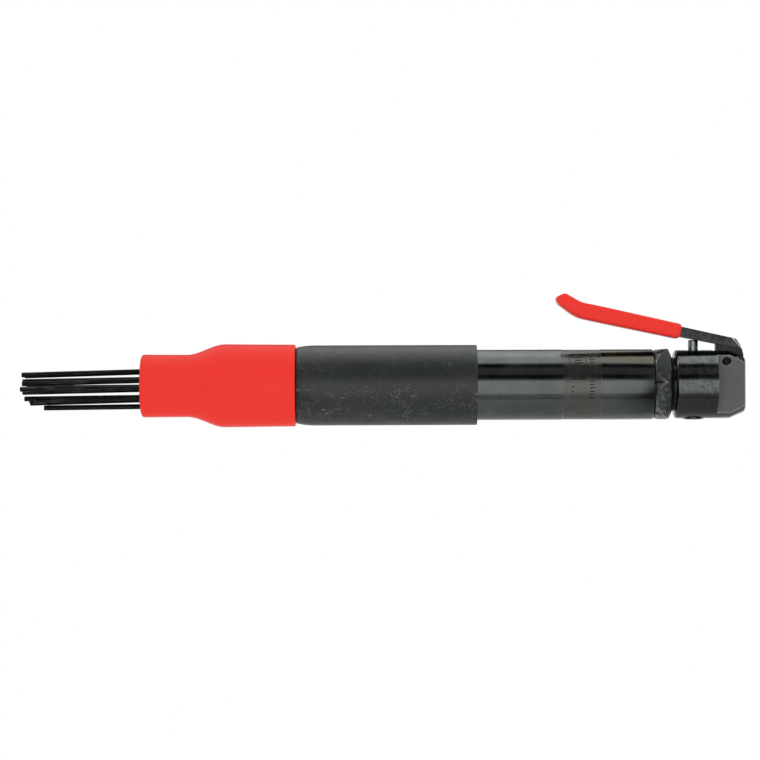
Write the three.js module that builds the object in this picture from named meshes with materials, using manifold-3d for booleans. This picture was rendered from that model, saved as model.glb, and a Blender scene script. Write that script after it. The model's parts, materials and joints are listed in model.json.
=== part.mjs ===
// In-line pneumatic needle scaler with a throttle lever, as an assembly of separate parts.
// Millimetres, +Z up. The barrel axis is X: the needles point to -X, and the air inlet's
// rear face is the origin. The lever is on the +Z side.
import * as THREE from 'three';
import { mergeVertices } from 'three/addons/utils/BufferGeometryUtils.js';
import Module from 'manifold-3d';

const wasm = await Module();
wasm.setup();

// ---- driving dimensions ----
const gap = 0.3;               // clearance between pieces that meet
const shellSides = 32;         // facets round the outer shells
const innerSides = 20;         // facets round the inner turned pieces
const smallSides = 12;         // facets round pins and small bores

const barrelRadius = 21.1;
const boreRadius = 11.5;
const pocketRadius = 14.8;     // valve pocket and lock nut bore
const headRadius = 20.5;
const headFront = -41.8;
const barrelRear = -54.3;
const barrelShoulder = -200;   // where the front housing stops on the barrel
const barrelFront = -225;
const pocketFloor = -94.9;
const spigotFront = -70.3;     // front end of the head's threaded spigot

const chamberRadius = 18.5;    // room for the needle holder and its return spring
const chamberFront = -318;
const noseBoreRadius = 15.8;
const noseRadius = 19.0;       // outside of the red shroud at the nose
const noseFront = -360.8;
const bellyRadius = 25.1;      // widest point of the shroud
const shroudRear = -268.5;
const gripRear = -160;
const gripRadius = 24.05;
const sleeveBore = barrelRadius + gap;

const needleRadius = 1.5;
const needleLength = 180;
const needlePitch = 6.5;
const needleHead = { radius: 2.3, length: 3 };
const plateRear = -255.8;      // face that the needle heads rest on
const plateFront = -263.8;
const anvilFace = -235.7;

const leverPin = { x: -11.1, z: 13.6, radius: 2 };
const leverSlope = -0.2175;    // rise of the lever's centre line per mm towards the rear
const leverAnchor = { x: -36.8, z: 31.15 };
const slot = { halfWidth: 4.5, front: -18.8, floor: 9 };
const plungerX = -30.2;
const plungerRadius = 2.75;
const valveBore = { lower: 6.75, land: 3.4, upper: 4.8, landBottom: -6.5, landTop: -4.5 };
const inlet = { radius: 7.2, depth: 14 };
const flatHalf = 11;           // half the distance across the wrench flats
const flatFront = -16.8;

// ---- materials ----
const finish = (color, roughness, metalness) =>
  new THREE.MeshStandardMaterial({ color, roughness, metalness });
const redVinyl = () => finish(0xec3c33, 0.45, 0);
const blackRubber = () => finish(0x34383a, 0.75, 0);
const oxideSteel = () => finish(0x4a4f4e, 0.32, 0.9);
const groundSteel = () => finish(0x9a9c9c, 0.3, 1);
const leverSteel = () => finish(0x55565a, 0.5, 0.8);
const needleSteel = () => finish(0x242526, 0.35, 0.7);
const springSteel = () => finish(0x6c6e70, 0.4, 0.9);
const nylon = () => finish(0xd9d4c4, 0.5, 0);
const sealRubber = () => finish(0x161616, 0.8, 0);
const brass = () => finish(0xb08d45, 0.35, 0.9);

// ---- shape helpers ----
function facingOut(geometry) {
  const bare = geometry.clone();
  bare.deleteAttribute('normal');
  bare.deleteAttribute('uv');
  const merged = mergeVertices(bare, 1e-4);
  const point = merged.getAttribute('position');
  const kept = [];
  let volume = 0;
  for (let i = 0; i < merged.index.count; i += 3) {
    const [a, b, c] = [0, 1, 2].map((k) => merged.index.getX(i + k));
    if (a === b || b === c || c === a) continue;
    kept.push(a, b, c);
    const [p, q, r] = [a, b, c].map((k) => new THREE.Vector3().fromBufferAttribute(point, k));
    volume += p.dot(q.cross(r));
  }
  if (volume < 0) kept.reverse();
  merged.setIndex(kept);
  return merged;
}

// A profile of [x, radius] points turned round the X axis. It starts and ends on the axis,
// or it is closed on itself by its first point.
function turned(profile, sides = innerSides) {
  const ends = [profile[0], profile[profile.length - 1]];
  const solidRod = ends.every(([, radius]) => radius === 0);
  const loop = solidRod ? profile : [...profile, profile[0]];
  const points = loop.map(([x, radius]) => new THREE.Vector2(radius, x));
  const geometry = new THREE.LatheGeometry(points, sides);
  geometry.rotateZ(-Math.PI / 2);
  return facingOut(geometry);
}

const ring = (x0, x1, inner, outer, sides = innerSides) =>
  turned([[x0, inner], [x0, outer], [x1, outer], [x1, inner]], sides);

const rod = (x0, x1, radius, sides = smallSides) =>
  turned([[x0, 0], [x0, radius], [x1, radius], [x1, 0]], sides);

// The same turned shapes stood up along Z at the plunger's place.
function upright(geometry) {
  return geometry.rotateY(-Math.PI / 2).translate(plungerX, 0, 0);
}

// A hole of a given radius from one point to another.
function drill(from, to, radius, sides = smallSides) {
  const start = new THREE.Vector3(...from);
  const along = new THREE.Vector3(...to).sub(start);
  const geometry = facingOut(new THREE.CylinderGeometry(radius, radius, along.length(), sides));
  geometry.translate(0, along.length() / 2, 0);
  const turn = new THREE.Quaternion().setFromUnitVectors(
    new THREE.Vector3(0, 1, 0),
    along.clone().normalize(),
  );
  geometry.applyQuaternion(turn);
  return geometry.translate(start.x, start.y, start.z);
}

function block(x0, x1, y0, y1, z0, z1) {
  const geometry = new THREE.BoxGeometry(x1 - x0, y1 - y0, z1 - z0);
  return facingOut(geometry.translate((x0 + x1) / 2, (y0 + y1) / 2, (z0 + z1) / 2));
}

// A side outline of [x, z] points given a width across Y, with rounded long edges.
function plate(outline, width, round = 0) {
  const shape = new THREE.Shape(outline.map(([x, z]) => new THREE.Vector2(x, z)));
  const geometry = new THREE.ExtrudeGeometry(shape, {
    depth: width - 2 * round,
    steps: 1,
    bevelEnabled: round > 0,
    bevelThickness: round,
    bevelSize: round,
    bevelOffset: -round,
    bevelSegments: 3,
  });
  geometry.rotateX(Math.PI / 2);
  return facingOut(geometry.translate(0, width / 2 - round, 0));
}

function solidOf(geometry) {
  const vertProperties = new Float32Array(geometry.getAttribute('position').array);
  const triVerts = new Uint32Array(geometry.index.array);
  return new wasm.Manifold(new wasm.Mesh({ numProp: 3, vertProperties, triVerts }));
}

function geometryOf(solid) {
  const { vertProperties, triVerts } = solid.getMesh();
  const geometry = new THREE.BufferGeometry();
  geometry.setAttribute('position', new THREE.BufferAttribute(vertProperties, 3));
  geometry.setIndex(new THREE.BufferAttribute(triVerts, 1));
  return geometry;
}

const cut = (body, tools) =>
  geometryOf(tools.reduce((left, tool) => left.subtract(solidOf(tool)), solidOf(body)));

const join = (first, second) => geometryOf(solidOf(first).add(solidOf(second)));

// A round wire wound along X, its end turns lying flat against what they press on.
class Coil extends THREE.Curve {
  constructor(x0, x1, radius, wire, turns) {
    super();
    Object.assign(this, { x0, x1, radius, wire, turns });
  }

  getPoint(t) {
    const angle = t * this.turns * 2 * Math.PI;
    const share = 1 / this.turns;
    const rise = THREE.MathUtils.clamp((t - share) / (1 - 2 * share), 0, 1);
    const seatTurn = 2.2 * this.wire;
    const free = this.x1 - this.x0 - 2 * seatTurn - 2 * this.wire;
    const seats = Math.min(t / share, 1) + Math.max((t - 1) / share + 1, 0);
    const x = this.x0 + this.wire + seats * seatTurn + rise * free;
    return new THREE.Vector3(x, this.radius * Math.cos(angle), this.radius * Math.sin(angle));
  }
}

function coilSpring(x0, x1, radius, wire, turns, stepsPerTurn) {
  const section = new THREE.Shape().absarc(0, 0, wire, 0, 2 * Math.PI, false);
  const geometry = new THREE.ExtrudeGeometry(section, {
    extrudePath: new Coil(x0, x1, radius, wire, turns),
    steps: Math.round(turns * stepsPerTurn),
    curveSegments: 6,
  });
  return facingOut(geometry);
}

const model = new THREE.Group();
function add(name, geometry, material, parent = model) {
  const mesh = new THREE.Mesh(geometry, material);
  mesh.name = name;
  parent.add(mesh);
  return mesh;
}

// ---- front end: housing, shroud, spring and needle holder ----
function addFrontEnd() {
  const tubeRadius = 17.2;
  const housingRadius = 22;
  const coneStart = -333.2;
  const coneEnd = -310.4;
  add('front_housing', turned([
    [noseFront + 2, noseBoreRadius],
    [noseFront + 2, tubeRadius],
    [coneStart, tubeRadius],
    [coneEnd, housingRadius],
    [shroudRear, housingRadius],
    [shroudRear, barrelRadius - 0.1],
    [barrelShoulder - gap, barrelRadius - 0.1],
    [barrelShoulder - gap, chamberRadius],
    [chamberFront, chamberRadius],
    [chamberFront, noseBoreRadius],
  ], shellSides), oxideSteel());

  const belly = [];
  const bellySteps = 6;
  for (let i = 0; i <= bellySteps; i += 1) {
    const t = i / bellySteps;
    const eased = t * t * (3 - 2 * t);
    belly.push([
      THREE.MathUtils.lerp(coneStart, coneEnd, t),
      THREE.MathUtils.lerp(noseRadius, bellyRadius, eased),
    ]);
  }
  const rubberOverCone = 0.55;   // the rubber stays this much clear of the housing's cone
  add('red_shroud', turned([
    [noseFront, noseBoreRadius],
    [noseFront, noseRadius - 1.2],
    [noseFront + 1.2, noseRadius],
    ...belly,
    [shroudRear - 1, bellyRadius - 0.4],
    [shroudRear, bellyRadius - 1.4],
    [shroudRear, housingRadius + gap],
    [coneEnd - rubberOverCone, housingRadius + gap],
    [coneStart - rubberOverCone, tubeRadius + gap],
    [noseFront + 2 - gap, tubeRadius + gap],
    [noseFront + 2 - gap, noseBoreRadius],
  ], shellSides), redVinyl());

  const seatEnd = chamberFront + 2.3;
  add('spring_seat', ring(chamberFront + gap, seatEnd, 15.6, 18.2), groundSteel());
  add('return_spring', coilSpring(seatEnd + gap, plateFront - gap, 16.8, 1.15, 6.5, 10),
    springSteel());

  const cupInner = 15.9;
  const holderBody = turned([
    [plateFront, 0],
    [plateFront, 18.1],
    [anvilFace - gap, 18.1],
    [anvilFace - gap, cupInner],
    [plateRear, cupInner],
    [plateRear, 0],
  ]);
  const needleHoles = needlePlaces().map(({ y, z }) =>
    drill([plateFront - 1, y, z], [plateRear + 1, y, z], needleRadius + 0.4, 8));
  add('needle_holder', cut(holderBody, needleHoles), groundSteel());
}

// Nineteen needles on a hexagonal pitch: rows of 3, 4, 5, 4 and 3, top row first.
function needlePlaces() {
  const places = [];
  [2, 1, 0, -1, -2].forEach((row) => {
    const count = 5 - Math.abs(row);
    for (let i = 0; i < count; i += 1) {
      places.push({
        y: (i - (count - 1) / 2) * needlePitch,
        z: row * needlePitch * Math.sin(Math.PI / 3),
      });
    }
  });
  return places;
}

// Each needle floats in its hole, so it sags a little and lies a little further back.
const needleDroop = [
  1.46, 1.66, 1.52,
  1.36, 0.92, 0.89, 1.15,
  0.56, 1.19, 0.3, 0.86, 1.03,
  0.99, 1.52, 0.62, 1.03,
  0.6, 0.6, 0.6,
];
const needleSetback = [
  0.2, 1.3, 0.6,
  0.8, 0.3, 1.2, 1.5,
  0, 0.7, 2.3, 0.4, 1.8,
  8.5, 4.8, 0.7, 2.8,
  13.6, 13.9, 14.2,
];

function addNeedles() {
  const profile = [
    [0, 0],
    [0, needleRadius],
    [needleLength - needleHead.length, needleRadius],
    [needleLength - needleHead.length, needleHead.radius],
    [needleLength, needleHead.radius],
    [needleLength, 0],
  ];
  const plateMiddle = (plateFront + plateRear) / 2;
  needlePlaces().forEach(({ y, z }, i) => {
    const droop = THREE.MathUtils.degToRad(needleDroop[i]);
    const alongNeedle = new THREE.Group();
    alongNeedle.position.set(plateMiddle, y, z);
    alongNeedle.rotation.y = -droop;
    model.add(alongNeedle);
    const name = `needle_${String(i + 1).padStart(2, '0')}`;
    const needle = add(name, turned(profile, 8), needleSteel(), alongNeedle);
    const headFace = plateRear + gap - plateMiddle;
    needle.position.x = headFace - (needleLength - needleHead.length) + needleSetback[i];
  });
}

// ---- hammer: barrel, piston, anvil and the valve that drives the piston ----
function addBarrel() {
  const band = { front: -109.1, rear: -86.6, radius: 20.9 };
  const body = turned([
    [barrelFront, boreRadius],
    [barrelFront, chamberRadius - gap],
    [barrelShoulder, chamberRadius - gap],
    [barrelShoulder, barrelRadius],
    [band.front, barrelRadius],
    [band.front, band.radius],
    [band.rear, band.radius],
    [band.rear, barrelRadius],
    [barrelRear - 0.8, barrelRadius],
    [barrelRear, barrelRadius - 0.8],
    [barrelRear, pocketRadius],
    [pocketFloor, pocketRadius],
    [pocketFloor, boreRadius],
  ], shellSides);
  const returnPort = { x: -202.3, radius: 1, offset: 13.4 };
  const passages = [-1, 1].flatMap((side) => [
    drill([pocketFloor + 1, side * returnPort.offset, 0],
      [returnPort.x, side * returnPort.offset, 0], returnPort.radius, 6),
    drill([returnPort.x + 1, side * (boreRadius - 1), 0],
      [returnPort.x + 1, side * (returnPort.offset + 0.5), 0], returnPort.radius, 6),
  ]);
  add('barrel', cut(body, passages), oxideSteel());

  add('grip_sleeve', turned([
    [shroudRear + gap, sleeveBore],
    [shroudRear + gap, gripRadius - 1.8],
    [shroudRear + 1.3, gripRadius - 0.8],
    [shroudRear + 6, gripRadius - 0.35],
    [shroudRear + 15, gripRadius],
    [gripRear - 0.5, gripRadius],
    [gripRear, gripRadius - 0.5],
    [gripRear, sleeveBore],
  ], shellSides), blackRubber());
}

function addHammer() {
  const pistonRadius = boreRadius - gap;
  add('piston', turned([
    [-200.4, 0],
    [-200.4, 8.6],
    [-198.4, pistonRadius],
    [-187, pistonRadius],
    [-186, pistonRadius - 1],
    [-169, pistonRadius - 1],
    [-168, pistonRadius],
    [-156.4, pistonRadius],
    [-155.4, pistonRadius - 1],
    [-155.4, 0],
  ]), groundSteel());
  add('anvil', turned([
    [anvilFace, 0],
    [anvilFace, 17],
    [anvilFace + 0.8, 17.8],
    [anvilFace + 8, 17.8],
    [anvilFace + 8, 8.5],
    [-202, 8.5],
    [-201, 7.5],
    [-201, 0],
  ]), groundSteel());
  add('anvil_buffer', ring(anvilFace + 8 + gap, barrelFront - gap, 9.2, 17.8), sealRubber());
  add('anvil_sleeve', ring(barrelFront + gap, -204, 8.9, boreRadius - gap), nylon());
}

function addFlutterValve() {
  const caseRadius = pocketRadius - gap;
  const split = -83.75;          // plane where the two case halves meet
  const valveRoom = { radius: 9, depth: 3.2 };
  const portCircle = 6;
  const dowelCircle = 11.9;
  const dowelAngles = [Math.PI / 2, -Math.PI / 2];
  const front = pocketFloor + gap;
  const gasket = { thickness: 1, inner: 8 };
  const rear = spigotFront - 2 * gap - gasket.thickness;
  const across = (angle, circle, radius, sides) => {
    const [y, z] = [circle * Math.cos(angle), circle * Math.sin(angle)];
    return drill([front - 1, y, z], [rear + 1, y, z], radius, sides);
  };
  const ports = Array.from({ length: 6 }, (_, i) =>
    across((i * Math.PI) / 3, portCircle, 1.5, 6));
  const dowelHoles = dowelAngles.map((angle) => across(angle, dowelCircle, 1.55, 8));
  const frontCase = rod(front, split - gap / 2, caseRadius, innerSides);
  add('valve_case_front', cut(frontCase, [...ports, ...dowelHoles]), groundSteel());
  const rearCase = turned([
    [split + gap / 2 + valveRoom.depth, 0],
    [split + gap / 2 + valveRoom.depth, valveRoom.radius],
    [split + gap / 2, valveRoom.radius],
    [split + gap / 2, caseRadius],
    [rear, caseRadius],
    [rear, 0],
  ]);
  add('valve_case_rear', cut(rearCase, [...ports, ...dowelHoles]), groundSteel());
  add('case_gasket', ring(rear + gap, spigotFront - gap, gasket.inner, caseRadius),
    sealRubber());
  add('flutter_valve', ring(split + 0.45, split + 2.05, 2.4, valveRoom.radius - 0.4),
    groundSteel());
  dowelAngles.forEach((angle, i) => {
    const dowel = rod(front + 2.5, rear - 1.5, 1.2, 8);
    dowel.translate(0, dowelCircle * Math.cos(angle), dowelCircle * Math.sin(angle));
    add(`case_dowel_${i + 1}`, dowel, groundSteel());
  });
}

// ---- joint between barrel and head ----
function addLockNut() {
  const nut = { front: barrelRear + gap, rear: -43.9, corner: 23.6, flat: 20.45 };
  const turnedNut = turned([
    [nut.front, pocketRadius],
    [nut.front, nut.flat - 0.1],
    [nut.front + 7, nut.corner],
    [nut.rear - 2.6, nut.corner],
    [nut.rear - 1.3, nut.corner - 2.6],
    [nut.rear, nut.corner - 5.7],
    [nut.rear, pocketRadius],
  ], shellSides);
  const hexRadius = nut.flat / Math.cos(Math.PI / 6);
  const firstCorner = THREE.MathUtils.degToRad(4);
  const hexagon = Array.from({ length: 6 }, (_, i) => {
    const angle = firstCorner + (i * Math.PI) / 3;
    return new THREE.Vector2(hexRadius * Math.cos(angle), hexRadius * Math.sin(angle));
  });
  const prism = new THREE.ExtrudeGeometry(new THREE.Shape(hexagon), {
    depth: 20,
    steps: 1,
    bevelEnabled: false,
  });
  // The hexagon's own X and Y become -Y and Z, and its angles count up from the near side.
  prism.applyMatrix4(new THREE.Matrix4().makeBasis(
    new THREE.Vector3(0, -1, 0),
    new THREE.Vector3(0, 0, 1),
    new THREE.Vector3(1, 0, 0),
  ));
  prism.translate(nut.front - 5, 0, 0);
  const body = solidOf(turnedNut).intersect(solidOf(facingOut(prism)));
  const notches = Array.from({ length: 6 }, (_, i) => {
    const angle = firstCorner + (i * Math.PI) / 3;
    const notch = block(nut.front - 1, nut.front + 2.6, -30, -19.2, -0.6, 0.6);
    return notch.rotateX(-angle);
  });
  add('lock_nut', cut(geometryOf(body), notches), oxideSteel());
  add('neck_seal', ring(nut.rear + gap, headFront - gap, pocketRadius, 16.2), sealRubber());
}

// ---- throttle head ----
function addHead() {
  const spigotRadius = pocketRadius - gap;
  const body = turned([
    [spigotFront, 0],
    [spigotFront, spigotRadius],
    [headFront, spigotRadius],
    [headFront, headRadius - 2],
    [headFront + 0.6, headRadius - 0.6],
    [headFront + 2, headRadius],
    [-9.2, headRadius],
    [-0.8, 17.2],
    [0, 16.6],
    [0, 0],
  ], shellSides);
  const far = 30;
  const tools = [
    block(flatFront, 1, flatHalf, far, -far, far),
    block(flatFront, 1, -far, -flatHalf, -far, far),
    block(slot.front, 1, -slot.halfWidth, slot.halfWidth, slot.floor, far),
    rod(-inlet.depth, 1, inlet.radius, 16),
    drill([-12.5, 0, -1.5], [-31, 0, -11.7], 2.6, 8),
    drill([spigotFront - 1, 0, 0], [plungerX, 0, 0], 3.6, 8),
    drill([plungerX, 0, -25], [plungerX, 0, valveBore.landBottom], valveBore.lower, 16),
    drill([plungerX, 0, -10], [plungerX, 0, 0], valveBore.land),
    drill([plungerX, 0, valveBore.landTop], [plungerX, 0, 25], valveBore.upper),
    drill([leverPin.x, -far, leverPin.z], [leverPin.x, far, leverPin.z],
      leverPin.radius + 0.35),
  ];
  add('throttle_head', cut(body, tools), oxideSteel());
  add('inlet_bushing', ring(-12, -gap, 5.6, inlet.radius - gap, 16), brass());
  const meshHoles = Array.from({ length: 6 }, (_, i) => {
    const angle = (i * Math.PI) / 3;
    const [y, z] = [3.6 * Math.cos(angle), 3.6 * Math.sin(angle)];
    return drill([-15, y, z], [-11, y, z], 0.9, 6);
  });
  add('inlet_screen', cut(rod(-13.7, -12.3, inlet.radius - gap, 16), meshHoles), brass());
}

function addThrottleValve() {
  const capRadius = valveBore.lower - gap;
  add('valve_cap', upright(turned([
    [-21.2, 0],
    [-21.2, capRadius - 0.9],
    [-20.7, capRadius],
    [-18.8, capRadius],
    [-18.8, 4.6],
    [-17, 4.6],
    [-17, 0],
  ], 16)), oxideSteel());
  const seal = (ringRadius, wire, z) =>
    facingOut(new THREE.TorusGeometry(ringRadius, wire, 6, 16)).translate(plungerX, 0, z);
  add('valve_cap_oring', seal(5.6, 0.65, -17.9), sealRubber());
  add('plunger_oring', seal(3.75, 0.55, 5.5), sealRubber());
  add('plunger_bushing', upright(ring(6.5, 19.7, 3.1, valveBore.upper - gap, smallSides)),
    brass());
  const valveTop = valveBore.landBottom - gap;
  add('throttle_valve', upright(turned([
    [-11.4, 0],
    [-11.4, 2.2],
    [-9.6, 2.2],
    [-9.6, 5.4],
    [-8.2, 5.4],
    [-8.2, 2],
    [3, 2],
    [3, 0],
  ], smallSides)), groundSteel());
  add('valve_washer', upright(ring(-8.2 + gap, valveTop, 2.4, 5.2, smallSides)), sealRubber());
  add('throttle_spring', upright(coilSpring(-16.7, -9.9, 3.6, 0.35, 4.5, 8)), springSteel());
  add('throttle_plunger', upright(turned([
    [3.3, 0],
    [3.3, plungerRadius],
    [24.8, plungerRadius],
    [25.8, 2],
    [26.3, 0],
  ], smallSides)), oxideSteel());
}

// ---- throttle lever ----
// The lever's centre line, from the tongue to the upturned tip.
const leverLine = (x) => leverAnchor.z + leverSlope * (x - leverAnchor.x);
const tipCurve = new THREE.CatmullRomCurve3([
  new THREE.Vector3(-37, 0, leverLine(-37)),
  new THREE.Vector3(-62, 0, leverLine(-62)),
  new THREE.Vector3(-86, 0, leverLine(-86)),
  new THREE.Vector3(-97, 0, 44.7),
  new THREE.Vector3(-104, 0, 47.6),
  new THREE.Vector3(-110, 0, 51.4),
]);

// A band either side of the centre line between two shares of its length.
function band(start, end, halfThickness, steps = 9) {
  const top = [];
  const bottom = [];
  for (let i = 0; i <= steps; i += 1) {
    const t = THREE.MathUtils.lerp(start, end, i / steps);
    const point = tipCurve.getPointAt(t);
    const tangent = tipCurve.getTangentAt(t);
    const half = halfThickness(t);
    top.push([point.x + tangent.z * half, point.z - tangent.x * half]);
    bottom.push([point.x - tangent.z * half, point.z + tangent.x * half]);
  }
  return [...top, ...bottom.reverse()];
}

function addLever() {
  const barHalf = 3.05;
  const barWidth = 14;
  const lineLength = tipCurve.getLength();
  const grown = (extra) => {
    const outline = band(0.02 - extra / 20, 0.93 + extra / lineLength, () => barHalf + extra, 8);
    return plate(outline, barWidth + 2 * extra);
  };
  const rearBar = plate([
    [-40, leverLine(-40) + barHalf * 1.02],
    [-40, leverLine(-40) - barHalf * 1.02],
    [-5, leverLine(-5) - barHalf * 1.02],
    [-5.4, leverLine(-5.4) + barHalf * 1.02],
  ], barWidth);
  const tongue = plate([
    [-14, 28],
    [-5.4, 27.2],
    [-2.4, 24.6],
    [-0.6, 19],
    [-0.1, 13.4],
    [-1.6, 10.7],
    [-8.5, 9.7],
    [-11.1, 9.6],
    [-13.6, 10.5],
    [-15.1, 12.6],
    [-16.8, 19.7],
    [-16.8, 26],
  ], 2 * slot.halfWidth - 1);
  const pinHole = drill([leverPin.x, -20, leverPin.z], [leverPin.x, 20, leverPin.z],
    leverPin.radius + 0.35);
  const bar = join(join(grown(0), rearBar), tongue);
  add('lever', cut(bar, [pinHole]), leverSteel());

  const gripHalf = (t) => {
    const swell = THREE.MathUtils.lerp(4.75, 5.25, Math.min(t / 0.6, 1));
    const taper = THREE.MathUtils.smoothstep(t, 0.72, 0.97);
    return THREE.MathUtils.lerp(swell, 3.9, taper) - (t > 0.99 ? 1.6 : 0);
  };
  const gripBody = plate(band(0.005, 1, gripHalf, 10), 18, 2.2);
  const mouth = block(-39, -34, -barWidth / 2 - gap, barWidth / 2 + gap,
    leverLine(-37) - 3.9, leverLine(-37) + 3.9);
  add('lever_grip', cut(gripBody, [grown(gap), mouth]), redVinyl());
  add('lever_pin', drill([leverPin.x, -flatHalf + gap, leverPin.z],
    [leverPin.x, flatHalf - gap, leverPin.z], leverPin.radius), oxideSteel());
}

addFrontEnd();
addNeedles();
addBarrel();
addHammer();
addFlutterValve();
addLockNut();
addHead();
addThrottleValve();
addLever();

export default model;
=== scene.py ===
"""Looks for the in-line needle scaler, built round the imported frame.

Lengths are in millimetres in the modelling helpers, and in metres everywhere else. The barrel
axis is X, the needles point to -X, and the throttle lever is on the +Z side.
"""
import json
import math

import bpy
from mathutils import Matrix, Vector


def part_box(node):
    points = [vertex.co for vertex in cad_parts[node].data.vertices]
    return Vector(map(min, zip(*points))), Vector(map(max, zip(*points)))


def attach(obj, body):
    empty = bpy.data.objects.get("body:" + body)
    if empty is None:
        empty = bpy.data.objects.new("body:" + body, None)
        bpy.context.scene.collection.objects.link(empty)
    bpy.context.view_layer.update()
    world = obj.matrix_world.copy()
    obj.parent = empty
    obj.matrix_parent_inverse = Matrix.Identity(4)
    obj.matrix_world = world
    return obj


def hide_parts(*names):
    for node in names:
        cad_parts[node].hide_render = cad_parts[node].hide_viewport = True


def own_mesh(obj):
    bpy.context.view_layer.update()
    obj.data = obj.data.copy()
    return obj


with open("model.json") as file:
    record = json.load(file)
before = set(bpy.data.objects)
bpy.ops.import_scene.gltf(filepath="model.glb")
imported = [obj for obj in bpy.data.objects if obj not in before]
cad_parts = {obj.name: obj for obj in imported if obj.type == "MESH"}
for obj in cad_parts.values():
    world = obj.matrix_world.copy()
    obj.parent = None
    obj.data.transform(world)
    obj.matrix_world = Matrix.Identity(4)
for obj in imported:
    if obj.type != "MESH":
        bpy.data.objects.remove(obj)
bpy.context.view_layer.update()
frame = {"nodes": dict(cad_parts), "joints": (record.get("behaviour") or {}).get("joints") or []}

MM = 0.001
TURN = 2 * math.pi
FINE = 96      # steps round the outer turned pieces
PLAIN = 48     # steps round the small ones
MERGE = 2e-6   # metres


# ---------------------------------------------------------------- modelling by hand
def let_go():
    """Leaves edit mode and selects nothing."""
    if bpy.context.object and bpy.context.object.mode != "OBJECT":
        bpy.ops.object.mode_set(mode="OBJECT")
    bpy.ops.object.select_all(action="DESELECT")


def pick(piece):
    """Selects one piece alone and makes it active."""
    let_go()
    piece.select_set(True)
    bpy.context.view_layer.objects.active = piece


def edit_all():
    bpy.ops.object.mode_set(mode="EDIT")
    bpy.ops.mesh.select_mode(type="VERT")
    bpy.ops.mesh.select_all(action="SELECT")


def named(name):
    """Names the object just made, and its mesh."""
    piece = bpy.context.object
    piece.name = name
    piece.data.name = name
    return piece


def start_point(name, place):
    """A mesh of one vertex at a place in millimetres, left in edit mode."""
    let_go()
    bpy.ops.mesh.primitive_plane_add(size=MM, location=(0, 0, 0))
    piece = named(name)
    edit_all()
    bpy.ops.mesh.merge(type="CENTER")
    bpy.ops.transform.translate(value=[c * MM for c in place])
    return piece


def draw_on(points):
    """Extrudes the chosen vertex from point to point."""
    for here, there in zip(points, points[1:]):
        step = [(b - a) * MM for a, b in zip(here, there)]
        bpy.ops.mesh.extrude_vertices_move(TRANSFORM_OT_translate={"value": step})


def tidy_mesh():
    """Merges doubles, points the faces outwards and leaves edit mode."""
    bpy.ops.mesh.select_all(action="SELECT")
    bpy.ops.mesh.remove_doubles(threshold=MERGE)
    bpy.ops.mesh.normals_make_consistent(inside=False)
    bpy.ops.object.mode_set(mode="OBJECT")


def turned(name, profile, steps=FINE):
    """A profile of (x, radius) spun round X. It begins and ends on the axis, or is a loop."""
    on_axis = profile[0][1] == 0 and profile[-1][1] == 0
    loop = list(profile) if on_axis else list(profile) + [profile[0]]
    points = [(x, 0, radius) for x, radius in loop]
    piece = start_point(name, points[0])
    draw_on(points)
    bpy.ops.mesh.select_all(action="SELECT")
    bpy.ops.mesh.spin(steps=steps, angle=TURN, center=(0, 0, 0), axis=(1, 0, 0))
    tidy_mesh()
    return piece


def slab(name, outline, width):
    """A side outline of (x, z), filled and given its width across Y."""
    points = [(x, -width / 2, z) for x, z in outline]
    piece = start_point(name, points[0])
    draw_on(points + points[:1])
    bpy.ops.mesh.select_all(action="SELECT")
    bpy.ops.mesh.remove_doubles(threshold=MERGE)
    bpy.ops.mesh.edge_face_add()
    bpy.ops.mesh.extrude_region_move(TRANSFORM_OT_translate={"value": (0, width * MM, 0)})
    tidy_mesh()
    return piece


def rounded(piece, width, segments=3, angle=30, finish=-1):
    """Rounds the sharp edges. The new faces can take a finish of their own, by its place."""
    pick(piece)
    bevel = piece.modifiers.new("round", "BEVEL")
    bevel.width = width * MM
    bevel.segments = segments
    bevel.limit_method = "ANGLE"
    bevel.angle_limit = math.radians(angle)
    bevel.use_clamp_overlap = True
    bevel.material = finish
    bpy.ops.object.modifier_apply(modifier=bevel.name)
    return piece


def smooth(piece, angle=32):
    """Shades a piece smooth, except over its sharp edges."""
    pick(piece)
    bpy.ops.object.shade_smooth_by_angle(angle=math.radians(angle))
    return piece


def combine(piece, tools, operation="DIFFERENCE"):
    """Cuts the tools out of a piece, or joins them to it, and throws the tools away."""
    for tool in tools:
        pick(piece)
        step = piece.modifiers.new("cut", "BOOLEAN")
        step.operation = operation
        step.solver = "EXACT"
        step.object = tool
        bpy.ops.object.modifier_apply(modifier=step.name)
        bpy.data.objects.remove(tool)
    return piece


def peg(start, end, radius, steps=PLAIN):
    """A round tool from one place to another, in millimetres."""
    let_go()
    run = [b - a for a, b in zip(start, end)]
    length = math.hypot(*run)
    lean = math.acos(run[2] / length)
    heading = math.atan2(run[1], run[0])
    bpy.ops.mesh.primitive_cylinder_add(
        vertices=steps, radius=radius * MM, depth=length * MM,
        location=[(a + b) / 2 * MM for a, b in zip(start, end)],
        rotation=(0, lean, heading))
    piece = named("tool")
    bpy.ops.object.transform_apply(location=True, rotation=True, scale=True)
    return piece


def block(low, high):
    """A square tool between two corners, in millimetres."""
    let_go()
    bpy.ops.mesh.primitive_cube_add(size=1, location=[(a + b) / 2 * MM for a, b in zip(low, high)])
    piece = named("tool")
    piece.scale = [(b - a) * MM for a, b in zip(low, high)]
    bpy.ops.object.transform_apply(location=True, rotation=True, scale=True)
    return piece


def copy_of(piece, name):
    pick(piece)
    bpy.ops.object.duplicate()
    return named(name)


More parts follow.
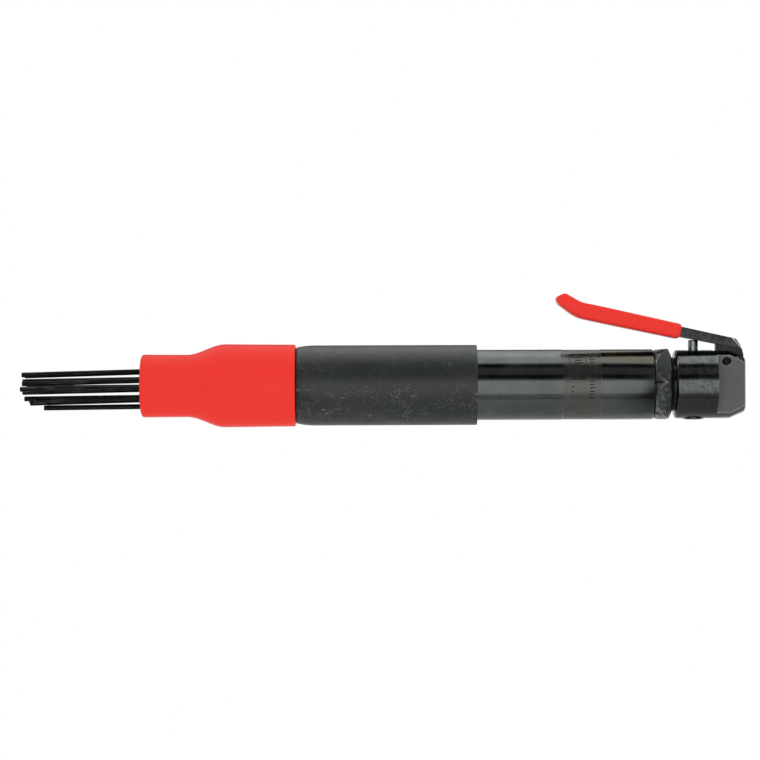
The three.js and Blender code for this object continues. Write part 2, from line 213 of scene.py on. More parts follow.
def arc(centre, radius, start, end, count=5):
    """Points (x, r) on an arc, angles in degrees from +X towards +r."""
    points = []
    for i in range(count + 1):
        angle = math.radians(start + (end - start) * i / count)
        points.append((centre[0] + radius * math.cos(angle),
                       centre[1] + radius * math.sin(angle)))
    return points


def span(node):
    """Front, rear and outer radius of a turned CAD node, in millimetres."""
    low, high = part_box(node)
    return low.x / MM, high.x / MM, high.y / MM


def coat(piece, *finishes):
    """Gives a piece its finishes. Its faces start with the first."""
    for finish in finishes:
        piece.data.materials.append(finish)
    return piece


def settle(piece, body, slot, material, *nodes):
    """The piece takes its finish, rides on its body and stands for its CAD nodes."""
    if not piece.data.materials:
        coat(piece, material)
    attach(piece, body)
    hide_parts(*nodes)
    return piece


# ---------------------------------------------------------------- materials
def put(tree, kind, sockets=None, **settings):
    """Adds a node. A socket is set to a number, or wired to another node's output."""
    node = tree.nodes.new(kind)
    for key, value in settings.items():
        setattr(node, key, value)
    for key, value in (sockets or {}).items():
        if isinstance(value, bpy.types.NodeSocket):
            tree.links.new(value, node.inputs[key])
        else:
            node.inputs[key].default_value = value
    return node


def sums(tree, operation, a, b=0.0):
    """One step of arithmetic between two numbers or outputs."""
    return put(tree, "ShaderNodeMath", {0: a, 1: b}, operation=operation).outputs[0]


def times(tree, a, b):
    return sums(tree, "MULTIPLY", a, b)


def plus(tree, a, b):
    return sums(tree, "ADD", a, b)


def larger(tree, a, b):
    return sums(tree, "MAXIMUM", a, b)


def shaded(tone, gain):
    """A colour made darker or lighter all through."""
    return [min(c * gain, 1) for c in tone[:3]] + [1]


def grain(tree, where, scale, detail=3.0, roughness=0.5, distortion=0.0):
    sockets = {"Vector": where, "Scale": scale, "Detail": detail, "Roughness": roughness,
               "Distortion": distortion}
    return put(tree, "ShaderNodeTexNoise", sockets).outputs[0]


def ramp(tree, value, low, high, start=0.0, end=1.0):
    """Runs from start to end as the value runs from low to high, and stays there past them."""
    sockets = {"Value": value, "From Min": low, "From Max": high, "To Min": start, "To Max": end}
    return put(tree, "ShaderNodeMapRange", sockets, clamp=True).outputs[0]


def blend_colours(tree, share, first, second):
    node = put(tree, "ShaderNodeMix", data_type="RGBA")
    for socket, value in ((node.inputs["Factor"], share), (node.inputs[6], first),
                          (node.inputs[7], second)):
        if isinstance(value, bpy.types.NodeSocket):
            tree.links.new(value, socket)
        else:
            socket.default_value = value
    return node.outputs[2]


def here(tree):
    return put(tree, "ShaderNodeTexCoord").outputs["Object"]


def along_axes(tree):
    """How far along X, Y and Z a place is, in metres."""
    return put(tree, "ShaderNodeSeparateXYZ", {0: here(tree)}).outputs


def stretched(tree, where, scale, turn=0.0):
    """The same places scaled along each axis, and turned round Z by an angle in radians."""
    sockets = {"Vector": where, "Scale": scale, "Rotation": (0, 0, turn)}
    return put(tree, "ShaderNodeMapping", sockets).outputs[0]


def unrolled(tree, radius):
    """Coordinates on a turned skin laid flat: X along it, and Y round it."""
    x, y, z = along_axes(tree)
    angle = sums(tree, "ARCTAN2", z, times(tree, y, -1.0))
    return put(tree, "ShaderNodeCombineXYZ", {0: x, 1: times(tree, angle, radius * MM)}).outputs[0]


def hairlines(tree, where, scale, width, seed=0.0, wiggle=0.6):
    """Thin crooked lines, 1 on a line and 0 off it."""
    moved = stretched(tree, where, (1, 1, 1))
    moved.node.inputs["Location"].default_value = (seed, 2 * seed, 0)
    field = grain(tree, moved, scale, 1.5, 0.5, wiggle)
    off = sums(tree, "ABSOLUTE", sums(tree, "SUBTRACT", field, 0.5))
    return ramp(tree, off, 0.0, width, 1.0, 0.0)


def bumped(tree, height, strength, distance):
    """A normal raised by a height, its full rise in millimetres."""
    sockets = {"Height": height, "Strength": strength, "Distance": distance * MM}
    return put(tree, "ShaderNodeBump", sockets).outputs[0]


def new_finish(name, **constants):
    """A material with its shader, and the numbers that are the same all over it."""
    material = bpy.data.materials.new(name)
    material.use_nodes = True
    shader = material.node_tree.nodes["Principled BSDF"]
    for key, value in constants.items():
        shader.inputs[key.replace("_", " ")].default_value = value
    return material, material.node_tree, shader.inputs


def wire(tree, inputs, **outputs):
    """Joins outputs to the shader's sockets, by the sockets' names."""
    for key, value in outputs.items():
        tree.links.new(value, inputs[key.replace("_", " ")])


def sharp_edge_mask(tree, reach, low=0.02, high=0.16):
    """1 along sharp edges, 0 on flat and gently turned skin."""
    soft = put(tree, "ShaderNodeBevel", {"Radius": reach * MM}, samples=6).outputs[0]
    true = put(tree, "ShaderNodeNewGeometry").outputs["Normal"]
    agree = put(tree, "ShaderNodeVectorMath", {0: soft, 1: true}, operation="DOT_PRODUCT")
    return ramp(tree, agree.outputs["Value"], 1 - low, 1 - high)


def red_vinyl(name, tone):
    """Dipped vinyl: satin, faintly orange-peeled, a little dusty in places, with painted shade
    along its sharp edges.
    """
    material, tree, inputs = new_finish(name, Metallic=0.0, Specular_IOR_Level=0.05)
    where = here(tree)
    cloud = grain(tree, where, 38, 4)
    speck = ramp(tree, grain(tree, where, 900, 2), 0.66, 0.74)
    colour = blend_colours(tree, ramp(tree, cloud, 0.3, 0.7), shaded(tone, 0.97), tone)
    dusty = blend_colours(tree, times(tree, speck, 0.04), colour, (0.9, 0.42, 0.38, 1))
    # Painted shade: the red is darkened along sharp edges, such as the nose lip and the rolled hem.
    deep = blend_colours(tree, sharp_edge_mask(tree, 0.9, 0.03, 0.3), dusty, shaded(tone, 0.55))
    peel = grain(tree, where, 420, 2)
    wire(tree, inputs, Base_Color=deep, Roughness=ramp(tree, cloud, 0.3, 0.7, 0.22, 0.30),
         Normal=bumped(tree, peel, 0.12, 0.12))
    return material


def scuffed_rubber(name, radius):
    """Black moulded rubber: satin, a greyer bloom, pale hairline scuffs above and below."""
    material, tree, inputs = new_finish(name, Metallic=0.0, Specular_IOR_Level=0.5)
    flat = unrolled(tree, radius)
    bloom = grain(tree, flat, 30, 5, 0.6)
    drift = grain(tree, stretched(tree, flat, (14, 60, 1)), 1.0, 4, 0.6)
    level = along_axes(tree)[2]
    rubbed_side = larger(tree, ramp(tree, level, 0.003, -0.006, 0.12, 1.0),
                         ramp(tree, level, 0.015, 0.019, 0.0, 0.9))
    places = ramp(tree, grain(tree, flat, 85, 3), 0.45, 0.58)
    curls = hairlines(tree, stretched(tree, flat, (0.6, 1.5, 1), 0.3), 115, 0.0055, 1.7, 0.3)
    sweeps = hairlines(tree, stretched(tree, flat, (1.2, 0.5, 1), -0.9), 70, 0.0030, 5.1)
    ticks = hairlines(tree, stretched(tree, flat, (2.4, 0.7, 1), 0.4), 95, 0.0045, 9.3, 0.2)
    scuff = times(tree, times(tree, larger(tree, curls, ticks), places), rubbed_side)
    nicks = hairlines(tree, stretched(tree, flat, (0.8, 1.5, 1), 0.4), 210, 0.008, 3.3, 0.4)
    nicks = times(tree, nicks, ramp(tree, grain(tree, flat, 130, 2), 0.44, 0.56, 0, 0.9))
    nicks = times(tree, nicks, rubbed_side)
    faint = times(tree, sweeps, ramp(tree, bloom, 0.45, 0.6, 0.0, 0.6))
    marks = larger(tree, larger(tree, scuff, nicks), faint)
    dust = ramp(tree, grain(tree, stretched(tree, flat, (600, 1300, 1)), 1.0, 4, 0.7), 0.35, 0.65)
    lift = plus(tree, times(tree, ramp(tree, bloom, 0.3, 0.7), 0.45), times(tree, dust, 0.55))
    base = blend_colours(tree, lift, (0.005, 0.009, 0.009, 1), (0.029, 0.035, 0.035, 1))
    olive = blend_colours(tree, ramp(tree, drift, 0.45, 0.75, 0.0, 0.6), base,
                          (0.034, 0.036, 0.029, 1))
    marked = blend_colours(tree, times(tree, marks, 0.55), olive, (0.28, 0.28, 0.27, 1))
    rim = blend_colours(tree, times(tree, sharp_edge_mask(tree, 0.6), 0.8), marked,
                        (0.26, 0.26, 0.26, 1))
    pits = grain(tree, flat, 1400, 3, 0.6)
    height = plus(tree, times(tree, pits, 0.5), marks)
    wire(tree, inputs, Base_Color=rim, Roughness=ramp(tree, bloom, 0.3, 0.7, 0.32, 0.42),
         Normal=bumped(tree, height, 0.3, 0.06))
    return material


def oxided_steel(name, radius, mottle=0.0, painted_grip_reflection=0.0, rough=0.13, tone=1.0, painted_underside_shade=0.0):
    """Turned steel, black oxided: dark mirror with turning marks, smudges and worn flecks."""
    material, tree, inputs = new_finish(name, Metallic=1.0)
    flat = unrolled(tree, radius)
    smudge = grain(tree, flat, 45, 5, 0.6)
    streaks = grain(tree, stretched(tree, flat, (900, 30, 1)), 1.0, 3)
    flecks = ramp(tree, grain(tree, flat, 700, 2), 0.70, 0.78)
    dark = (0.105 * tone, 0.116 * tone, 0.118 * tone, 1)
    light = (0.160 * tone, 0.172 * tone, 0.174 * tone, 1)
    base = blend_colours(tree, ramp(tree, smudge, 0.3, 0.7), dark, light)
    roughness = ramp(tree, smudge, 0.3, 0.7, rough, rough + 0.09)
    pits = times(tree, ramp(tree, grain(tree, flat, 1300, 3, 0.6), 0.60, 0.68),
                 ramp(tree, grain(tree, flat, 75, 4, 0.6), 0.44, 0.60))
    base = blend_colours(tree, times(tree, pits, 0.75), base, (0.028, 0.029, 0.030, 1))
    height = sums(tree, "SUBTRACT", streaks, times(tree, pits, 3.0))
    if mottle:
        blots = grain(tree, stretched(tree, flat, (520, 150, 1)), 1.0, 5, 0.75)
        pocks = grain(tree, flat, 420, 4, 0.7, 0.8)
        base = blend_colours(tree, ramp(tree, pocks, 0.50, 0.62, 0.0, mottle), base,
                             (0.035, 0.034, 0.033, 1))
        base = blend_colours(tree, ramp(tree, blots, 0.50, 0.66, 0.0, mottle), base,
                             (0.20, 0.21, 0.205, 1))
        height = plus(tree, height, times(tree, pocks, 2.5))
    # Painted reflection: a brown tint on the top of the barrel towards its rear stands for the red
    # lever grip mirrored there.
    if painted_grip_reflection:
        x, _, z = along_axes(tree)
        rear, top = ramp(tree, x, -0.112, -0.100), ramp(tree, z, 0.010, 0.0185)
        grip_reflection_share = times(tree, times(tree, rear, top), painted_grip_reflection)
        base = blend_colours(tree, grip_reflection_share, base, (0.120, 0.088, 0.042, 1))
    # Painted shade: the colour turns darker towards the bottom, below the axis.
    if painted_underside_shade:
        under = times(tree, ramp(tree, along_axes(tree)[2], -0.003, -0.008), painted_underside_shade)
        base = blend_colours(tree, under, base, (0.052, 0.046, 0.044, 1))
    worn = blend_colours(tree, times(tree, flecks, 0.35), base, (0.36, 0.37, 0.36, 1))
    patchy = times(tree, sharp_edge_mask(tree, 0.4), ramp(tree, smudge, 0.35, 0.6, 0.35, 0.9))
    bright = blend_colours(tree, patchy, worn, (0.46, 0.47, 0.46, 1))
    wire(tree, inputs, Base_Color=bright, Roughness=roughness,
         Normal=bumped(tree, height, 0.06, 0.02))
    return material


def plate_steel(name, tone, scale, rough=0.42, streak=(40, 700, 700), depth=0.05, patchy=0.22,
                metal=0.85, wear_reach=0.4, wear_gain=2.2):
    """Dull plate or milled face: grey, with a directional grain and pale specks."""
    material, tree, inputs = new_finish(name, Metallic=metal)
    where = here(tree)
    lines = grain(tree, stretched(tree, where, streak), 1.0, 3)
    blots = grain(tree, where, scale, 5, 0.65)
    specks = ramp(tree, grain(tree, where, 1100, 2), 0.66, 0.76)
    base = blend_colours(tree, ramp(tree, blots, 0.36, 0.64), shaded(tone, 1 - patchy),
                         shaded(tone, 1 + patchy))
    marked = blend_colours(tree, times(tree, specks, 0.5), base, shaded(tone, 2.2))
    wear = times(tree, sharp_edge_mask(tree, wear_reach), ramp(tree, blots, 0.3, 0.5, 0.5, 0.9))
    edged = blend_colours(tree, wear, marked, shaded(tone, wear_gain))
    height = plus(tree, lines, blots)
    wire(tree, inputs, Base_Color=edged, Roughness=ramp(tree, blots, 0.3, 0.7, rough, rough + 0.14),
         Normal=bumped(tree, height, 0.25, depth))
    return material


def forged_scale(name):
    """The lock nut's skin: forged and oxided, smoother above and chipped and rough below."""
    material, tree, inputs = new_finish(name, Metallic=0.9)
    where = here(tree)
    chips = put(tree, "ShaderNodeTexVoronoi", {"Vector": where, "Scale": 720.0}).outputs[0]
    blots = grain(tree, where, 330, 5, 0.72, 0.6)
    below = ramp(tree, along_axes(tree)[2], 0.004, -0.001)
    pale = times(tree, ramp(tree, blots, 0.5, 0.62), ramp(tree, below, 0, 1, 0.2, 0.9))
    base = blend_colours(tree, pale, (0.085, 0.094, 0.092, 1), (0.22, 0.24, 0.235, 1))
    bright = blend_colours(tree, times(tree, sharp_edge_mask(tree, 0.4), 0.7), base,
                           (0.42, 0.43, 0.42, 1))
    rough = times(tree, plus(tree, blots, times(tree, chips, 0.5)),
                  ramp(tree, below, 0, 1, 0.25, 1.0))
    wire(tree, inputs, Base_Color=bright, Roughness=ramp(tree, blots, 0.3, 0.7, 0.26, 0.5),
         Normal=bumped(tree, rough, 0.6, 0.2))
    return material


def needle_steel(name):
    """Hardened black wire: smooth, with a few rubbed places."""
    material, tree, inputs = new_finish(name, Metallic=0.9)
    where = here(tree)
    rub = grain(tree, stretched(tree, where, (60, 500, 500)), 1.0, 4, 0.6)
    base = blend_colours(tree, ramp(tree, rub, 0.52, 0.72, 0.0, 0.9), (0.016, 0.016, 0.017, 1),
                         (0.10, 0.10, 0.095, 1))
    wire(tree, inputs, Base_Color=base, Roughness=ramp(tree, rub, 0.3, 0.7, 0.20, 0.38),
         Normal=bumped(tree, rub, 0.2, 0.05))
    return material


def inner_metal(name, tone, rough=0.28):
    """Ground or turned inner parts: fine circular marks under oil."""
    material, tree, inputs = new_finish(name, Metallic=1.0)
    where = here(tree)
    marks = grain(tree, stretched(tree, where, (1500, 60, 60)), 1.0, 2)
    oil = grain(tree, where, 90, 4, 0.6)
    base = blend_colours(tree, ramp(tree, oil, 0.3, 0.7), shaded(tone, 0.72), tone)
    wire(tree, inputs, Base_Color=base, Roughness=ramp(tree, oil, 0.3, 0.7, rough, rough + 0.15),
         Normal=bumped(tree, marks, 0.15, 0.03))
    return material


def moulded(name, tone, rough):
    """Seals, buffers and plastic sleeves: a very fine skin, a little cloudy."""
    material, tree, inputs = new_finish(name, Metallic=0.0)
    where = here(tree)
    skin = grain(tree, where, 1300, 3)
    bloom = grain(tree, where, 110, 4)
    paler = [min(c * 1.5 + 0.004, 1) for c in tone[:3]] + [1]
    base = blend_colours(tree, ramp(tree, bloom, 0.35, 0.75), tone, paler)
    wire(tree, inputs, Base_Color=base, Roughness=ramp(tree, bloom, 0.3, 0.7, rough, rough + 0.15),
         Normal=bumped(tree, skin, 0.25, 0.05))
    return material


# ---------------------------------------------------------------- front end
def make_shroud(material):
    """The dipped boot: thick soft lip at the nose, a swelling neck and a rolled rear edge."""
    front, rear, belly = span("red_shroud")
    mouth, nose = 15.8, 18.87
    waist, widest, hem = 18.7, belly - 0.18, belly - 0.55
    lip_depth, lip_rise, lip_steps = 2.0, nose - mouth - 0.2, 9
    outer = [(front + 0.2, mouth)]
    for i in range(lip_steps + 1):
        angle = math.pi / 2 * i / lip_steps
        outer.append((front + 1.5 - lip_depth * math.cos(angle),
                      nose - lip_rise * (1 - math.sin(angle))))
    outer.append((front + 18, waist))
    swell, swell_end, rise = front + 27.3, front + 49.8, 24
    for i in range(rise + 1):
        share = i / rise
        eased = share * share * (3 - 2 * share)
        outer.append((swell + (swell_end - swell) * i / rise, waist + (widest - waist) * eased))
    outer += arc((rear - 1.0, hem - 1.0), 1.0, 90, 0, 6)
    inner = [(rear, 22.3), (front + 49.8, 22.3), (front + 27.1, 17.5), (front + 1.7, 17.5),
             (front + 1.7, mouth)]
    piece = smooth(turned("shroud_boot", outer + inner), 40)
    return settle(piece, "root", "red_vinyl", material, "red_shroud")


def make_housing(material):
    """The steel tube inside the shroud, seen up the nose past the needles."""
    front, rear, _ = span("front_housing")
    chamber = front + 40.8
    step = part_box("red_shroud")[1].x / MM
    profile = [(front, 15.8), (front, 17.2), (front + 25.6, 17.2), (front + 48.4, 22.0),
               (step, 22.0), (step, 21.0), (rear, 21.0), (rear, 18.5), (chamber, 18.5),
               (chamber, 15.8)]
    piece = smooth(rounded(turned("nose_housing", profile), 0.25, 2))
    return settle(piece, "root", "oxide_steel", material, "front_housing")


def make_sleeve(material):
    """The rubber grip: a rounded front shoulder and a square rear edge."""
    front, rear, radius = span("grip_sleeve")
    bore = 21.4
    shoulder = 1.25
    ease, reach = 8, 12.0
    outer = [(front, bore), (front, radius - shoulder - 0.35)]
    for i in range(ease + 1):
        share = i / ease
        outer.append((front + 0.35 + reach * share, radius - shoulder * (1 - share) ** 2.4))
    outer += [(rear - 30, radius - 0.02), (rear, radius - 0.05), (rear, bore)]
    piece = turned("hand_sleeve", outer)
    piece = smooth(rounded(piece, 0.3, 3, 40), 40)
    return settle(piece, "root", "black_rubber", material, "grip_sleeve")


def needle_pattern():
    """The needle everything is copied from: cut tip at the origin, headed end to +X."""
    length, radius = 180.0, 1.5
    head_radius, head = 2.3, 3.0
    profile = [(0, 0), (0, radius - 0.28), (0.22, radius - 0.05), (0.5, radius),
               (length - head - 0.6, radius), (length - head, radius + 0.35),
               (length - head, head_radius - 0.2), (length - head + 0.25, head_radius),
               (length - 0.4, head_radius), (length, head_radius - 0.4), (length, 0)]
    return smooth(turned("needle_pattern", profile, 24), 34)


def make_needles(shaft, tip):
    """Each needle lies where its CAD node lies, along the line that its joint slides on."""
    pattern = needle_pattern()
    slides = {joint["child"]: joint["axis"] for joint in frame["joints"]}
    for node in sorted(name for name in slides if name[-2:].isdigit()):
        low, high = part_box(node)
        lean = math.atan2(slides[node][2], slides[node][0])
        radius = 1.5 * MM
        needle = copy_of(pattern, f"steel_{node}")
        needle.rotation_euler = (0, -lean, 0)
        needle.location = (low.x + radius * math.sin(lean), (low.y + high.y) / 2,
                           low.z + radius * math.cos(lean))
        bpy.ops.object.transform_apply(location=True, rotation=True, scale=True)
        coat(needle, shaft, tip)
        settle(needle, node, "needle_steel", shaft, node)
        for face in needle.data.polygons:
            if (face.center.x - low.x) < 0.3 * MM:
                face.material_index = 1
    bpy.data.objects.remove(pattern)


# ---------------------------------------------------------------- barrel and nut
def make_barrel(material, band_material, stamped):
    """Turned barrel: a shallow matte band holds stamped dots and a plain engraved panel."""
    front, rear, radius = span("barrel")
    shoulder, floor = front + 25, rear - 40.6
    band_front, band_rear, band_radius = rear - 54.8, rear - 32.3, radius - 0.2
    bore, pocket, thread, end_chamfer = 11.5, 14.8, 18.2, 0.8
    profile = [(front, bore), (front, thread), (shoulder, thread), (shoulder, radius),
               (band_front, radius), (band_front, band_radius), (band_rear, band_radius),
               (band_rear, radius), (rear - end_chamfer, radius), (rear, radius - end_chamfer),
               (rear, pocket), (floor, pocket), (floor, bore)]
    piece = rounded(turned("barrel_tube", profile), 0.08, 1)
    depth = 0.22
    piece = smooth(combine(piece, stamp_tools(band_front, band_radius, depth)))
    coat(piece, material, band_material, stamped)
    band_finish, stamp_shade_finish = 1, 2
    settle(piece, "root", "oxide_steel", material, "barrel")
    inside = ((band_front + 0.05) * MM, (band_rear - 0.05) * MM)
    # The stamped cuts' floors take the near-black finish as painted shade.
    for face in piece.data.polygons:
        out = math.hypot(face.center.y, face.center.z) / MM
        if inside[0] < face.center.x < inside[1] and out > band_radius - 1:
            face.material_index = band_finish if out > band_radius - 0.06 else stamp_shade_finish
    return piece


def around(piece, degrees):
    """Turns a tool round the barrel, from the near side up towards the lever."""
    pick(piece)
    piece.rotation_euler = (-math.radians(degrees), 0, 0)
    bpy.ops.object.transform_apply(location=True, rotation=True, scale=True)
    return piece


def stamp_tools(front, radius, depth):
    """Shallow cutters: three punch dots, a plain framed panel, and a row of bars beside it."""
    deep = -(radius - depth)
    out = -radius - 1

    def dash(offset, length, degrees, width=0.3):
        bar = block((front + offset, out, -width / 2), (front + offset + length, deep, width / 2))
        return around(bar, degrees)

    def run(offset, width, low, high, step=4):
        """A line round the barrel, in short straight pieces."""
        half = radius * math.radians(step) / 2 + 0.02
        return [around(block((front + offset, out, -half), (front + offset + width, deep, half)),
                       degrees + step / 2) for degrees in range(low, high, step)]

    tools = []
    for degrees in (-4, -11, -18):
        dot = peg((front + 5.4, out, 0), (front + 5.4, deep, 0), 0.62, 16)
        tools.append(around(dot, degrees))
    panel, panel_length, line = 3.8, 9.6, 0.55
    tools += run(panel, line, 8, 60) + run(panel + panel_length, line, 8, 60)
    tools += [dash(panel, panel_length + line, edge, line) for edge in (8, 60)]
    for row, degrees in enumerate(range(14, 57, 6)):
        inset = 1.5 + 0.8 * (row % 3)
        tools.append(dash(panel + inset, panel_length - 2 * inset + line, degrees, 1.05))
    for row in range(15):
        length = (3.4, 2.4, 3.0)[row % 3]
        tools.append(dash(15.6, length, -22 + 5.6 * row, 0.8))
    return tools


def make_nut(material, cone_material, dark):
    """Full hexagon with a long front cone, a steep rear one, and a slot at each corner."""
    low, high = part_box("lock_nut")
    front, rear = low.x / MM, high.x / MM
    corner, flat, bore = 23.6, 20.45, 14.8
    cone, face_rim = 7, flat - 0.15
    first = 4.0     # degrees from the near side up to the first corner
    profile = [(front, bore), (front, face_rim), (front + cone, corner), (rear - 2.6, corner),
               (rear - 1.3, corner - 2.6), (rear, corner - 5.7), (rear, bore)]
    piece = turned("barrel_nut", profile, 144)
    pick(piece)
    bpy.ops.object.mode_set(mode="EDIT")
    for i in range(6):
        angle = math.radians(first + 30 + 60 * i)
        outward = (0, -math.cos(angle), math.sin(angle))
        bpy.ops.mesh.select_all(action="SELECT")
        bpy.ops.mesh.bisect(plane_co=[c * flat * MM for c in outward], plane_no=outward,
                            use_fill=True, clear_outer=True)
    tidy_mesh()
    slot_half, slot_run, slot_depth = 0.7, 3.2, 4.4
    slots = []
    for i in range(6):
        slot = block((front - 1, -corner - 2, -slot_half),
                     (front + slot_run, -corner + slot_depth, slot_half))
        slots.append(around(slot, first + 60 * i))
    piece = smooth(rounded(combine(piece, slots), 0.16, 2, 20), 30)
    coat(piece, material, cone_material, dark)
    cone_finish, slot_shade_finish = 1, 2
    # Faces inside the corner slots take the near-black finish as painted shade.
    for face in piece.data.polygons:
        x, y, z = (c / MM for c in face.center)
        out = math.hypot(y, z)
        off_corner = (math.degrees(math.atan2(z, -y)) - first + 30) % 60 - 30
        in_slot = abs(out * math.radians(off_corner)) < 0.75 and x < front + 3.3
        if in_slot and out < flat - 0.4 + (x - front) * (corner - flat) / cone:
            face.material_index = slot_shade_finish
        elif abs(face.normal.x) > 0.2:
            face.material_index = cone_finish
    return settle(piece, "root", "oxide_steel", material, "lock_nut")


def make_neck_seal(material):
    """Two rubber rings pressed together in the neck."""
    front, rear, radius = span("neck_seal")
    middle = (front + rear) / 2
    bore = 14.8
    ring = (rear - front) / 4
    outer = arc((front + ring, radius - ring), ring, 180, 20, 6)
    outer += arc((middle + ring, radius - ring), ring, 160, 0, 6)
    piece = smooth(turned("neck_rings", [(front, bore)] + outer + [(rear, bore)]), 60)
    return settle(piece, "root", "seal_rubber", material, "neck_seal")


# ---------------------------------------------------------------- head
PLUNGER_X = -30.2
PIN = (-11.1, 13.6)    # x and z of the lever pin
FLAT = 11.0            # half the distance across the wrench flats
FLAT_FRONT = -16.8
SLOT_HALF = 4.5


def upright(piece):
    """Stands a piece turned round X up along Z, at the plunger's place."""
    pick(piece)
    piece.rotation_euler = (0, -math.pi / 2, 0)
    piece.location = (PLUNGER_X * MM, 0, 0)
    bpy.ops.object.transform_apply(location=True, rotation=True, scale=True)
    return piece


def make_head(material, flat_material, rubbed):
    """Throttle head: wrench flats, a tapered rear, the lever's slot and the air ways."""
    front = span("throttle_head")[0]
    radius = 20.5
    shoulder = front + 28.5
    spigot, inlet, pin_hole, corner = 14.5, 7.2, 2.35, 1.9
    profile = [(front, 0), (front, spigot), (shoulder, spigot), (shoulder, radius - 2.1)]
    profile += arc((shoulder + corner, radius - corner), corner, 175, 95, 6)
    profile += [(shoulder + 2.6, radius), (-9.2, radius), (-0.8, 17.2), (0, 16.5), (0, 0)]
    piece = turned("head_body", profile, 144)
    far = 30
    countersinks = []
    for side in (-1, 1):
        let_go()
        bpy.ops.mesh.primitive_cone_add(
            vertices=PLAIN, radius1=3.75 * MM, radius2=1.35 * MM, depth=2.4 * MM,
            location=(PIN[0] * MM, side * (FLAT - 0.3) * MM, PIN[1] * MM),
            rotation=(side * math.pi / 2, 0, 0))
        countersinks.append(named("tool"))
        bpy.ops.object.transform_apply(location=True, rotation=True, scale=True)
    tools = [
        block((FLAT_FRONT, FLAT, -far), (1, far, far)),          # far wrench flat
        block((FLAT_FRONT, -far, -far), (1, -FLAT, far)),        # near wrench flat
        block((-18.8, -SLOT_HALF, 9), (1, SLOT_HALF, far)),      # slot for the lever's tongue
        peg((-14, 0, 0), (1, 0, 0), inlet),
        peg((front - 1, 0, 0), (PLUNGER_X, 0, 0), 3.6),          # air way to the hammer
        peg((PLUNGER_X, 0, -25), (PLUNGER_X, 0, -6.5), 6.75),    # room under the throttle valve
        peg((PLUNGER_X, 0, -7), (PLUNGER_X, 0, -4), 3.4),        # valve seat
        peg((PLUNGER_X, 0, -4.5), (PLUNGER_X, 0, 25), 4.8),      # plunger bushing's bore
        peg((-12.5, 0, -1.5), (-31, 0, -11.7), 2.6),             # air way from the inlet
        peg((PIN[0], -far, PIN[1]), (PIN[0], far, PIN[1]), pin_hole),
        *countersinks,
    ]
    oxide_finish, edge_finish, flat_finish = range(3)
    piece = coat(combine(piece, tools), material, rubbed, flat_material)
    piece = smooth(rounded(piece, 0.36, 2, 28, edge_finish), 30)
    settle(piece, "root", "oxide_steel", material, "throttle_head")
    for face in piece.data.polygons:
        on_flat = abs(abs(face.center.y) - FLAT * MM) < 0.02 * MM
        if on_flat and abs(face.normal.y) > 0.999:
            face.material_index = flat_finish
        elif face.center.x < (FLAT_FRONT - 1) * MM:
            face.material_index = oxide_finish
    return piece


def make_plunger(material):
    """Throttle plunger: a plain rod with a rounded crown that the lever presses."""
    low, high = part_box("throttle_plunger")
    bottom, top, radius = low.z / MM, high.z / MM + 0.2, high.y / MM + 0.25
    crown = 0.8
    profile = [(bottom, 0), (bottom, radius - 0.3), (bottom + 0.3, radius), (top - crown, radius)]
    profile += arc((top - crown, radius - crown), crown, 90, 25, 5)[1:]
    profile += [(top - 0.05, 1.1), (top, 0)]
    piece = smooth(upright(turned("plunger_rod", profile, PLAIN)), 50)
    return settle(piece, "throttle_plunger", "oxide_steel", material, "throttle_plunger")


def make_plunger_bushing(material):
    """Brass guide round the plunger, its mouth countersunk."""
    low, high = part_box("plunger_bushing")
    bottom, top, radius = low.z / MM, high.z / MM, high.y / MM
    bore = 3.1
    profile = [(bottom, bore), (bottom, radius), (top, radius), (top, bore + 0.5),
               (top - 0.5, bore)]
    piece = smooth(rounded(upright(turned("plunger_guide", profile, PLAIN)), 0.15, 2))
    return settle(piece, "root", "brass", material, "plunger_bushing")


def make_valve_cap(material):
    """Screwed plug under the head, with a screwdriver slot and a domed face."""
    low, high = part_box("valve_cap")
    bottom, top, radius = low.z / MM, high.z / MM, high.y / MM
    profile = [(bottom, 0), (bottom + 0.05, radius - 2.2), (bottom + 0.5, radius - 0.35),
               (bottom + 0.9, radius), (bottom + 2.4, radius), (bottom + 2.4, 4.6), (top, 4.6),
               (top, 0)]
    cap = upright(turned("valve_plug", profile, PLAIN))
    slot = block((PLUNGER_X - 8, -0.8, bottom - 1), (PLUNGER_X + 8, 0.8, bottom + 1.1))
    piece = smooth(rounded(combine(cap, [slot]), 0.14, 2))
    return settle(piece, "root", "oxide_steel", material, "valve_cap")


def make_inlet(material):
    """Inlet bushing, its bore cut with ridges of a pipe thread."""
    front, rear, radius = span("inlet_bushing")
    bore, pitch, depth = 5.6, 1.41, 0.55
    profile = [(front, bore), (front, radius), (rear, radius), (rear, bore + 0.9)]
    x = rear - 0.8
    while x - pitch > front + 0.6:
        profile += [(x, bore), (x - 0.2, bore), (x - pitch / 2, bore + depth),
                    (x - pitch + 0.2, bore)]
        x -= pitch
    piece = smooth(turned("inlet_thread", profile, PLAIN), 25)
    return settle(piece, "root", "brass", material, "inlet_bushing")


# ---------------------------------------------------------------- lever
LEVER_SLOPE = math.radians(12.27)
TIP_SLOPE = math.radians(32.0)
LEVER_ANCHOR = (-36.8, 31.15)
BEND_X = -96.0
BEND_RADIUS = 18.0
BEND_LENGTH = BEND_RADIUS * (TIP_SLOPE - LEVER_SLOPE)


